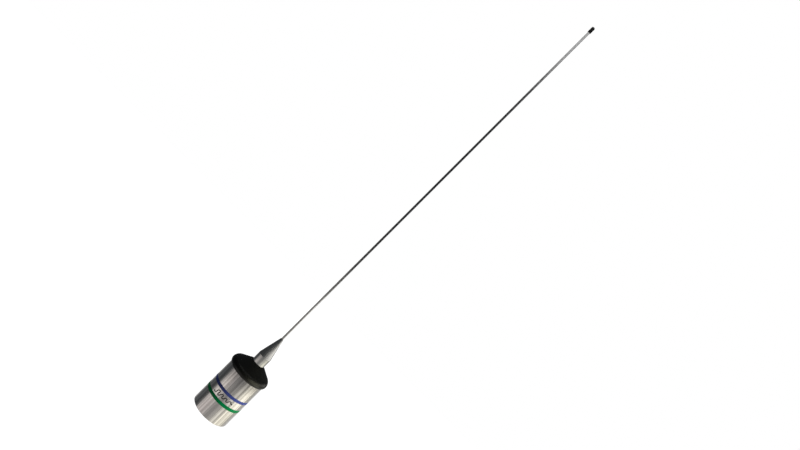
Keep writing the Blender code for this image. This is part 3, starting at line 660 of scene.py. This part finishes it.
def make_emblem():
    """The wave printed on the front of the canister, as a thin raised line of ink."""
    low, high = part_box("emblem_film")
    middle_z = (low.z + high.z) / 2
    half_line = 0.85 * MM
    wave = damped_wave(EMBLEM_LENGTH, EMBLEM_SHARE * (high.z - low.z), 8, 0.3)
    line = resampled(wave, 0.5 * MM)
    shape = bmesh.new()
    rings = []
    for i, point in enumerate(line):
        before = (point - line[max(i - 1, 0)]).normalized()
        after = (line[min(i + 1, len(line) - 1)] - point).normalized()
        side = (before + after).normalized().orthogonal() * half_line
        ring = []
        inner_r, outer_r = CAN_R + SKIN / 3, CAN_R + SKIN
        for r, offset in ((inner_r, -side), (inner_r, side), (outer_r, side), (outer_r, -side)):
            across, up = point + offset
            ring.append(shape.verts.new(around(r, -90 + math.degrees(across / CAN_R), middle_z + up)))
        rings.append(ring)
    for near, far in zip(rings, rings[1:]):
        for k in range(4):
            m = (k + 1) % 4
            shape.faces.new((near[k], near[m], far[m], far[k]))
    shape.faces.new(rings[0])
    shape.faces.new(rings[-1])
    return finish_mesh("emblem_print", shape, [INK])


place(make_canister(), "canister", "base", "brushed_stainless")
place(make_stripe("blue_stripe", "blue_band", BLUE), "blue_band", "base", "blue_vinyl")
place(make_stripe("green_stripe", "green_band", GREEN), "green_band", "base", "green_vinyl")
place(make_emblem(), "emblem_film", "base", "emblem_film")

# ---- cap -----------------------------------------------------------------------------------------

CAP_R, CAP_SKIRT_Z, CAP_TOP_Z = span("cap")
CAP_TOP_R = 13.07 * MM
CAP_SLOPE = 0.6174  # fall of the cone per unit of radius
CAP_RIM_Z = 93.4 * MM
CAP_RIM_ARC = 9.4 * MM
CAP_LIP_ARC = 6.56 * MM
CAP_LIP_Z = 89.0 * MM
CAP_LIP_IN_R = 36.1 * MM
CAP_GROOVE_IN_R = 34.4 * MM
CAP_GROOVE_TOP_Z = 95.0 * MM
CAP_SKIRT_IN_R = 32.0 * MM
CAP_ROOF = 3.5 * MM
CAP_HUB_R = 10.5 * MM
CAP_HUB_Z = 99.2 * MM
CAP_POCKET_AF = 14.6 * MM
CAP_POCKET_TOP_Z = 103.3 * MM
CAP_BORE_R = 5.1 * MM


def roof_z(radius):
    """Height of the cap's cone at a radius."""
    return CAP_TOP_Z - CAP_SLOPE * (radius - CAP_TOP_R)


def make_cap():
    """The moulded cap: cone, rounded rim and lip outside, a groove for the canister's rim, skirt and hub."""
    cone_deg = 90 - math.degrees(math.atan(CAP_SLOPE))
    lip_deg = -math.degrees(math.asin((CAP_RIM_Z - CAP_LIP_Z) / CAP_LIP_ARC))
    half_way = 20 * MM
    outside = [(CAP_BORE_R, CAP_TOP_Z)]
    outside += rounded([(9 * MM, CAP_TOP_Z), (CAP_TOP_R, CAP_TOP_Z, 0.35 * MM),
                        (half_way, roof_z(half_way))])
    outside += arc(CAP_R - CAP_RIM_ARC, CAP_RIM_Z, CAP_RIM_ARC, cone_deg, 0, 28)
    outside += arc(CAP_R - CAP_LIP_ARC, CAP_RIM_Z, CAP_LIP_ARC, lip_deg / 14, lip_deg, 13)
    groove = [(CAP_LIP_IN_R, CAP_LIP_Z), (CAP_LIP_IN_R, CAP_GROOVE_TOP_Z)]
    groove += [(CAP_GROOVE_IN_R, CAP_GROOVE_TOP_Z), (CAP_GROOVE_IN_R, CAP_SKIRT_Z)]
    skirt = [(CAP_SKIRT_IN_R, CAP_SKIRT_Z), (CAP_SKIRT_IN_R, roof_z(CAP_SKIRT_IN_R) - CAP_ROOF - MM)]
    skirt += [(CAP_SKIRT_IN_R - 1.5 * MM, roof_z(CAP_SKIRT_IN_R - 1.5 * MM) - CAP_ROOF)]
    pocket = hexagon(CAP_POCKET_AF)
    hub = [(CAP_HUB_R, roof_z(CAP_HUB_R) - CAP_ROOF), (CAP_HUB_R, CAP_HUB_Z)]
    hub += [(pocket, CAP_HUB_Z), (pocket, CAP_POCKET_TOP_Z), (CAP_BORE_R, CAP_POCKET_TOP_Z)]
    return finish_mesh("cap_moulding", turned(outside + groove + skirt + hub, 256), [BLACK])


def make_ring(name, node, wall, material, fillet):
    """A flat ring with rounded edges that fills the node's box outwards from its bore."""
    outer_r, low, high = span(node)
    inner_r = outer_r - wall
    section = rounded([(inner_r, low, fillet), (outer_r, low, fillet), (outer_r, high, fillet),
                       (inner_r, high, fillet)])
    return finish_mesh(name, turned(section, 128), [material])


cap = place(make_cap(), "cap", "base", "black_plastic")
# Another softbox on the right, for the cap alone: it puts an olive sheen along the cap's rim.
flag(make_softbox("rim_sheen", 60, 0.5, (-0.12, 0.34), 0.6, 2.3, (1.0, 0.98, 0.70)), cap)
place(make_ring("rim_seal", "rim_gasket", 1.1 * MM, RUBBER, 0.2 * MM), "rim_gasket", "base", "black_rubber")

# ---- feed stud and the parts clamped by it -------------------------------------------------------

PITCH = 25.4 / 24 * MM  # of the stud's and the barrel's threads
THREAD_DEPTH = 0.65 * MM
STUD_HEX_AF = 14.0 * MM
STUD_HEX_Z = (99.0 * MM, 103.0 * MM)
STUD_R = 4.76 * MM
SHANK_R = 3.0 * MM
SHANK_PITCH = 1.0 * MM
SHANK_DEPTH = 0.55 * MM  # of its thread
SHANK_THREAD_TOP_Z = 93.4 * MM
SHANK_HOLE_R = 3.3 * MM
STUD_NUT_AF = 10.0 * MM
STUD_NUT_CREST_R = SHANK_R + 0.05 * MM
STUD_NUT_ROOT_R = SHANK_R + 0.5 * MM


def hexagonal_rows(across_flats, low, high, chamfer_low=True):
    """Section rows of a hexagonal prism with chamfered corners, at the bottom only if asked."""
    flat_r = across_flats / 2
    corner = flat_r * (2 / math.sqrt(3) - 1)
    depth = corner * math.tan(math.radians(30))
    steps = 6
    rows = []
    for k in range(steps + 1):
        share = k / steps
        limit = flat_r + corner * share if chamfer_low else UNCUT
        rows.append((hexagon(across_flats, limit), low + depth * share))
    for k in range(steps, -1, -1):
        share = k / steps
        rows.append((hexagon(across_flats, flat_r + corner * share), high - depth * share))
    return rows


def make_feed_stud():
    """A threaded post, a hexagon that sits in the cap's pocket and a thinner threaded shank for the nut."""
    _, low_z, high_z = span("feed_stud")
    hex_low, hex_high = STUD_HEX_Z
    root = STUD_R - THREAD_DEPTH
    outline = [(0, low_z), (SHANK_R - 0.7 * MM, low_z)]
    outline += thread_rows(SHANK_R, SHANK_R - SHANK_DEPTH, SHANK_PITCH, low_z, SHANK_THREAD_TOP_Z,
                           0.6 * MM, 0.4 * MM)
    outline += [(SHANK_R, SHANK_THREAD_TOP_Z + 0.3 * MM), (SHANK_R, hex_low)]
    outline += hexagonal_rows(STUD_HEX_AF, hex_low, hex_high, chamfer_low=False)
    outline += [(root, hex_high)]
    outline += thread_rows(STUD_R, root, PITCH, hex_high + 0.2 * MM, high_z, 0.5 * MM, 0.9 * MM)
    outline += [(root - 0.4 * MM, high_z), (0, high_z)]
    return finish_mesh("feed_post", turned(outline, 120), [BRASS], 40)


def make_nut(name, node, across_flats, crest, root, pitch, material):
    """A chamfered hexagonal nut with an internal thread."""
    _, low, high = span(node)
    lead = 0.35 * MM
    bore = thread_rows(crest, root, pitch, low + lead, high - lead)
    outline = hexagonal_rows(across_flats, low, high)
    outline += [(root, high)] + bore[::-1] + [(root, low)]
    return finish_mesh(name, turned(outline, 192), [material], 40)


def make_toothed_washer(name, node, bore_r, tooth, teeth, material):
    """A lock washer with a row of square teeth round its bore."""
    outer_r, low, high = span(node)
    edge = 0.12 * MM

    def toothed(angle):
        wave = math.cos(teeth * angle)
        return bore_r + tooth * min(1.0, max(0.0, 0.5 - 3.0 * (wave + 0.5)))

    flat_r = bore_r + tooth + edge
    outline = [(toothed, low + edge), (flat_r, low), (outer_r - edge, low), (outer_r, low + edge)]
    outline += [(outer_r, high - edge), (outer_r - edge, high), (flat_r, high), (toothed, high - edge)]
    return finish_mesh(name, turned(outline, 288), [material])


place(make_feed_stud(), "feed_stud", "base", "brass")
place(make_nut("post_nut", "stud_nut", STUD_NUT_AF, STUD_NUT_CREST_R, STUD_NUT_ROOT_R, SHANK_PITCH, ZINC),
      "stud_nut", "base", "zinc_steel")
place(make_toothed_washer("post_lock_washer", "stud_lock_washer", SHANK_HOLE_R, 0.8 * MM, 6, ZINC),
      "stud_lock_washer", "base", "zinc_steel")

# ---- coil former, winding and leads --------------------------------------------------------------

COIL_R = 15.1 * MM
COIL_DEG = 20.0
COIL_START_Z = 28.0 * MM
COIL_PITCH = 5.0 * MM
COIL_TURNS = 10
WIRE_R = 0.8 * MM
TAP_WIRE_R = 0.6 * MM
SCREW_HOLE_R = 1.8 * MM
SCREW_OFFSET = 9.1 * MM
SCREW_CENTRES = [(SCREW_OFFSET * x, SCREW_OFFSET * y) for x, y in ((1, 1), (-1, 1), (-1, -1), (1, -1))]
TUBE_BOTTOM_Z = 22.0 * MM
TUBE_ROOF_Z = 93.7 * MM  # underside of the former's closed top
NECK_TOP_Z = 18.0 * MM
TAP_Z = 14.0 * MM  # height at which the tap lead crosses the neck, in the middle of its window
TAP_BEND = 3.0 * MM


def cut(piece, tools):
    """Cut the tools out of the piece, and remove them."""
    for tool in tools:
        modifier = piece.modifiers.new(tool.name, "BOOLEAN")
        modifier.object = tool
        modifier.operation = "DIFFERENCE"
        modifier.solver = "EXACT"
    graph = bpy.context.evaluated_depsgraph_get()
    mesh = bpy.data.meshes.new_from_object(piece.evaluated_get(graph))
    piece.modifiers.clear()
    piece.data = mesh
    mesh.shade_smooth()
    mesh.set_sharp_from_angle(angle=math.radians(32))
    for tool in tools:
        bpy.data.objects.remove(tool, do_unlink=True)
    return piece


def block(size, centre, turn_deg=0.0):
    """A box turned about Z, used as a cutter."""
    shape = bmesh.new()
    bmesh.ops.create_cube(shape, size=1.0)
    bmesh.ops.scale(shape, vec=size, verts=shape.verts)
    bmesh.ops.translate(shape, vec=centre, verts=shape.verts)
    turn = Matrix.Rotation(math.radians(turn_deg), 3, "Z")
    bmesh.ops.rotate(shape, cent=(0, 0, 0), matrix=turn, verts=shape.verts)
    return finish_mesh("cutter", shape, [])


def drill(radius, low, high, centre=(0, 0)):
    """A cylinder, used as a cutter."""
    tool = finish_mesh("cutter", turned([(0, low), (radius, low), (radius, high), (0, high)], 32), [])
    tool.data.transform(Matrix.Translation((*centre, 0)))
    return tool


def make_coil_former():
    """Foot plate, windowed neck and coil tube in one moulding, closed at the top round the feed stud."""
    plate_r, foot_low, top_z = span("coil_former")
    foot_high = 8.2 * MM
    neck_in, neck_out = 7.4 * MM, 9.6 * MM
    tube_in, tube_out = 11.5 * MM, 14.0 * MM
    fillet, bend = 0.5 * MM, 1.5 * MM
    section = rounded([
        (neck_in, foot_low), (plate_r, foot_low, fillet), (plate_r, foot_high, fillet),
        (neck_out, foot_high, fillet), (neck_out, NECK_TOP_Z, bend), (tube_out, TUBE_BOTTOM_Z, bend),
        (tube_out, top_z, fillet), (SHANK_HOLE_R, top_z), (SHANK_HOLE_R, TUBE_ROOF_Z),
        (tube_in, TUBE_ROOF_Z, fillet), (tube_in, TUBE_BOTTOM_Z, bend), (neck_in, NECK_TOP_Z, bend),
    ])
    former = finish_mesh("coil_tube", turned(section, 96), [ACETAL])
    tools = [block((24 * MM, 5 * MM, 6 * MM), (0, 0, TAP_Z))]
    tools += [drill(SCREW_HOLE_R, foot_low - MM, foot_high + MM, centre) for centre in SCREW_CENTRES]
    return cut(former, tools)


def make_winding():
    """The coil's wire: up from the ground lug, round the former ten times and up to the top lug."""
    _, low_z, high_z = span("coil_winding")
    end_z = COIL_START_Z + COIL_PITCH * COIL_TURNS
    steps = 48
    bend = 1.2 * MM
    path = [around(COIL_R, COIL_DEG, low_z), around(COIL_R, COIL_DEG, COIL_START_Z - bend)]
    for i in range(COIL_TURNS * steps + 1):
        turn = i / steps
        path.append(around(COIL_R, COIL_DEG + 360 * turn, COIL_START_Z + COIL_PITCH * turn))
    path += [around(COIL_R, COIL_DEG, end_z + bend), around(COIL_R, COIL_DEG, high_z)]
    return finish_mesh("coil_wire", sweep(path, WIRE_R, 12, False), [COPPER])


def make_tap_lead():
    """From the centre contact's solder cup out through the neck's window and up to the first turn."""
    low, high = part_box("tap_lead")
    quarter = [math.radians(10 * i) for i in range(10)]
    path = [Vector((0, 0, low.z))]
    for a in quarter:
        path.append(Vector((-TAP_BEND * (1 - math.cos(a)), 0, TAP_Z - TAP_BEND + TAP_BEND * math.sin(a))))
    for a in quarter:
        path.append(Vector((-(COIL_R - TAP_BEND) - TAP_BEND * math.sin(a), 0,
                            TAP_Z + TAP_BEND * (1 - math.cos(a)))))
    path.append(Vector((-COIL_R, 0, high.z)))
    return finish_mesh("tap_wire", sweep(path, TAP_WIRE_R, 12, False), [COPPER])


def make_lug(name, node, centre, hole_r, outer_r, tail_width):
    """A solder lug: an eyelet with a round-ended tail that reaches to the coil's wire."""
    low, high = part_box(node)
    reach = around(COIL_R, COIL_DEG, 0).xy - Vector(centre)
    heading = math.atan2(reach.y, reach.x)
    half = math.asin(tail_width / 2 / outer_r)
    outline = []
    for i in range(49):
        a = heading + half + (FULL - 2 * half) * i / 48
        outline.append(Vector(centre) + outer_r * Vector((math.cos(a), math.sin(a))))
    for i in range(17):
        a = heading + math.pi * (i / 16 - 0.5)
        outline.append(Vector(centre) + reach + tail_width / 2 * Vector((math.cos(a), math.sin(a))))
    shape = bmesh.new()
    below = [shape.verts.new((*p, low.z)) for p in outline]
    above = [shape.verts.new((*p, high.z)) for p in outline]
    for i in range(len(outline)):
        j = (i + 1) % len(outline)
        shape.faces.new((below[i], below[j], above[j], above[i]))
    shape.faces.new(below)
    shape.faces.new(above)
    lug = finish_mesh(name, shape, [COPPER])
    return cut(lug, [drill(hole_r, low.z - MM, high.z + MM, centre)])


place(make_coil_former(), "coil_former", "base", "natural_acetal")
place(make_winding(), "coil_winding", "base", "tinned_copper")
place(make_tap_lead(), "tap_lead", "base", "tinned_copper")
place(make_lug("top_solder_lug", "top_lug", (0, 0), SHANK_HOLE_R, 6.6 * MM, 3.4 * MM), "top_lug", "base",
      "tinned_copper")
place(make_lug("ground_solder_lug", "ground_lug", SCREW_CENTRES[0], SCREW_HOLE_R, 2.95 * MM, 2.6 * MM),
      "ground_lug", "base", "tinned_copper")

# ---- coax connector ------------------------------------------------------------------------------

BARREL_R = 7.94 * MM
BARREL_FLAT = 7.1 * MM
FLANGE_Z = (3.4 * MM, 5.4 * MM)
HUB_R = 6.0 * MM
SOCKET_R = 6.3 * MM
SOCKET_END_Z = 2.3 * MM
HUB_BORE_R = 4.0 * MM
SLEEVE_R = 3.0 * MM  # bore of the insulator round the contact
SLEEVE_END_Z = 1.3 * MM
CONTACT_HOLE_R = 2.05 * MM
CONTACT_HOLE_END_Z = -1.0 * MM
CUP_Z = 8.7 * MM  # where the contact's solder cup starts
CUP_DEPTH = 3.0 * MM


def square(half_side, corner_r):
    """Radius of a square outline with rounded corners at an angle."""

    def radius(angle):
        turn = (angle + math.pi / 4) % (math.pi / 2) - math.pi / 4
        straight = half_side / math.cos(turn)
        centre = (half_side - corner_r) * math.sqrt(2)
        off = math.pi / 4 - abs(turn)
        round_r = centre * math.cos(off) + math.sqrt(max(0.0, corner_r ** 2 - (centre * math.sin(off)) ** 2))
        return min(straight, round_r) if half_side * math.tan(abs(turn)) > half_side - corner_r else straight

    return radius


def make_connector_body():
    """Square flange, hub and threaded barrel with a stepped bore, a long flat and notches in the rim."""
    low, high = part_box("connector_body")
    flange_low, flange_high = FLANGE_Z
    plate = square(high.x, 1.2 * MM)
    root = BARREL_R - THREAD_DEPTH
    barrel = [(flatted(r, BARREL_FLAT), z)
              for r, z in thread_rows(BARREL_R, root, PITCH, low.z + 0.25 * MM, flange_low - 0.3 * MM,
                                      0.8 * MM, 0.4 * MM)]
    rim_r = root - 0.25 * MM
    outline = [(SOCKET_R + 0.3 * MM, low.z), (rim_r, low.z)] + barrel
    outline += [(root, flange_low), (plate, flange_low), (plate, flange_high), (HUB_R, flange_high)]
    outline += [(HUB_R, high.z - 0.3 * MM), (HUB_R - 0.3 * MM, high.z), (HUB_BORE_R, high.z)]
    outline += [(HUB_BORE_R, SOCKET_END_Z), (SOCKET_R, SOCKET_END_Z), (SOCKET_R, low.z + 0.3 * MM)]
    body = finish_mesh("socket_body", turned(outline, 192), [NICKEL], 36)
    tools = [drill(SCREW_HOLE_R, flange_low - MM, flange_high + MM, centre) for centre in SCREW_CENTRES]
    tools += [block((30 * MM, 1.2 * MM, 1.8 * MM), (0, 0, low.z), turn) for turn in (45, 135)]
    return cut(body, tools)


def make_insulator():
    """The turned PTFE insulator round the centre contact."""
    outer_r, low_z, high_z = span("connector_insulator")
    neck_r = HUB_BORE_R - 0.3 * MM
    shank_hole_r = 1.9 * MM
    shoulder_z = SOCKET_END_Z - 0.3 * MM
    section = rounded([
        (SLEEVE_R, low_z, 0.2 * MM), (outer_r, low_z, 0.3 * MM), (outer_r, shoulder_z), (neck_r, shoulder_z),
        (neck_r, high_z, 0.2 * MM), (shank_hole_r, high_z), (shank_hole_r, SLEEVE_END_Z),
        (SLEEVE_R, SLEEVE_END_Z),
    ])
    return finish_mesh("socket_insulator", turned(section, 128), [PTFE])


def make_contact():
    """The split socket for the plug's pin, with a solder cup at its inner end."""
    outer_r, low_z, high_z = span("centre_contact")
    lead_in, chamfer = 0.2 * MM, 0.3 * MM
    shank_r, cup_r, cup_bore_r = 1.6 * MM, 1.9 * MM, 1.1 * MM
    shoulder_z = 1.0 * MM
    outline = [(0, CONTACT_HOLE_END_Z), (CONTACT_HOLE_R, CONTACT_HOLE_END_Z)]
    outline += [(CONTACT_HOLE_R, low_z + lead_in), (CONTACT_HOLE_R + lead_in, low_z)]
    outline += [(outer_r - chamfer, low_z), (outer_r, low_z + chamfer), (outer_r, shoulder_z)]
    outline += [(shank_r, shoulder_z), (shank_r, CUP_Z), (cup_r, CUP_Z), (cup_r, high_z)]
    outline += [(cup_bore_r, high_z), (cup_bore_r, high_z - CUP_DEPTH), (0, high_z - CUP_DEPTH)]
    contact = finish_mesh("socket_contact", turned(outline, 64), [NICKEL])
    slots = [block((12 * MM, 0.5 * MM, 11 * MM), (0, 0, low_z), turn) for turn in (0, 90)]
    return cut(contact, slots)


def make_screw(number):
    """A pan-head screw with a hexagon socket, from its seat down into the connector's flange."""
    node = f"flange_screw_{number}"
    low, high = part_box(node)
    head_r = (high.x - low.x) / 2
    head_low = high.z - 1.9 * MM
    shank_r = 1.45 * MM
    depth, pitch = 0.3 * MM, 0.5 * MM
    socket = hexagon(2.0 * MM)
    socket_floor = high.z - 1.1 * MM
    outline = [(0, low.z), (shank_r - depth, low.z)]
    outline += thread_rows(shank_r, shank_r - depth, pitch, low.z + 0.1 * MM, head_low - 0.2 * MM,
                           depth, depth, 8)
    outline += [(shank_r, head_low), (head_r, head_low)]
    dome = rounded([(head_r, head_low), (head_r, high.z, 1.1 * MM), (1.3 * MM, high.z), (0, head_low)], 8)
    outline += dome[1:-1]
    outline += [(socket, high.z), (socket, socket_floor), (0, socket_floor)]
    screw = finish_mesh(f"flange_bolt_{number}", turned(outline, 48), [ZINC], 36)
    screw.data.transform(Matrix.Translation((*SCREW_CENTRES[number - 1], 0)))
    return screw


place(make_connector_body(), "connector_body", "base", "nickel_plate")
place(make_insulator(), "connector_insulator", "base", "white_ptfe")
place(make_contact(), "centre_contact", "base", "nickel_plate")
place(make_ring("socket_gasket", "connector_gasket", 2.9 * MM, RUBBER, 0.25 * MM),
      "connector_gasket", "base", "black_rubber")
for screw_number in (1, 2, 3, 4):
    place(make_screw(screw_number), f"flange_screw_{screw_number}", "base", "zinc_steel")

# ---- mounting washer and nut ---------------------------------------------------------------------

MOUNT_NUT_AF = 19.05 * MM  # 3/4 inch
MOUNT_NUT_CREST_R = 8.02 * MM
MOUNT_NUT_ROOT_R = 8.6 * MM

place(make_toothed_washer("bracket_lock_washer", "mount_lock_washer", CAN_HOLE_R, 1.2 * MM, 12, ZINC),
      "mount_lock_washer", "washer_drop", "zinc_steel")
place(make_nut("bracket_nut", "mount_nut", MOUNT_NUT_AF, MOUNT_NUT_CREST_R, MOUNT_NUT_ROOT_R, PITCH, NICKEL),
      "mount_nut", "nut", "nickel_plate")

# ---- ferrule, whip and tip -----------------------------------------------------------------------

FERRULE_CONE_Z = 130.3 * MM
FERRULE_NOSE_R = 2.65 * MM
WHIP_HOLE_R = 2.05 * MM
WHIP_HOLE_END_Z = 134.0 * MM
TAP_TOP_Z = 129.0 * MM  # end of the hole for the stud
TAP_ROOT_R = 5.4 * MM
TAP_CREST_R = 4.85 * MM


def make_ferrule():
    """A short cylinder and a long straight cone, tapped for the stud below and bored for the whip above."""
    outer_r, low_z, nose_z = span("ferrule")
    groove_in, groove_out = 7.3 * MM, 9.5 * MM
    groove_z = low_z + 1.9 * MM
    outside = rounded([
        (groove_out, low_z, 0.15 * MM), (outer_r, low_z, 0.4 * MM), (outer_r, FERRULE_CONE_Z, 0.9 * MM),
        (FERRULE_NOSE_R, nose_z, 0.2 * MM), (WHIP_HOLE_R, nose_z, 0.1 * MM), (WHIP_HOLE_R, WHIP_HOLE_END_Z),
        (0, WHIP_HOLE_END_Z), (0, 120 * MM),
    ], 8)[:-1]  # the last point only leads the first corner in
    tap = thread_rows(TAP_CREST_R, TAP_ROOT_R, PITCH, low_z + 0.6 * MM, TAP_TOP_Z - 1.2 * MM)
    inside = [(0, TAP_TOP_Z), (4.6 * MM, TAP_TOP_Z), (TAP_ROOT_R, TAP_TOP_Z - 0.8 * MM)] + tap[::-1]
    inside += [(TAP_ROOT_R + 0.2 * MM, low_z)]
    inside += rounded([(groove_in, low_z, 0.1 * MM), (groove_in, groove_z, 0.3 * MM),
                       (groove_out, groove_z, 0.3 * MM), (groove_out, low_z)])[:-1]
    return finish_mesh("ferrule_turning", turned(inside + outside, 160), [CHROME], 36)


def make_seal():
    """The O-ring in the ferrule's lower face."""
    outer_r, low_z, _ = span("ferrule_seal")
    wire_r = 0.8 * MM
    section = arc(outer_r - wire_r, low_z + wire_r, wire_r, 0, 345, 23)
    return finish_mesh("ferrule_o_ring", turned(section, 128), [RUBBER])


def make_rod():
    """The straight stainless whip."""
    radius, low_z, high_z = span("whip_rod")
    edge = 0.25 * MM
    outline = rounded([(0, low_z), (radius, low_z, edge), (radius, high_z, edge), (0, high_z)])
    return finish_mesh("whip_steel", turned(outline, 48), [ROD])


def make_tip():
    """The moulded cap on the whip's end, its end domed and its mouth rolled."""
    radius, low_z, high_z = span("whip_tip")
    bore_end_z = high_z - 2.9 * MM
    outline = rounded([
        (0, bore_end_z), (WHIP_HOLE_R, bore_end_z), (WHIP_HOLE_R, low_z, 0.15 * MM),
        (radius, low_z, 0.45 * MM), (radius, high_z, 2.5 * MM), (0, high_z),
    ], 10)
    return finish_mesh("tip_cap", turned(outline, 64), [TIP_BLACK])


place(make_ferrule(), "ferrule", "whip", "satin_chrome")
place(make_seal(), "ferrule_seal", "ferrule_lift", "black_rubber")
place(make_rod(), "whip_rod", "whip", "polished_stainless")
place(make_tip(), "whip_tip", "whip", "black_plastic")
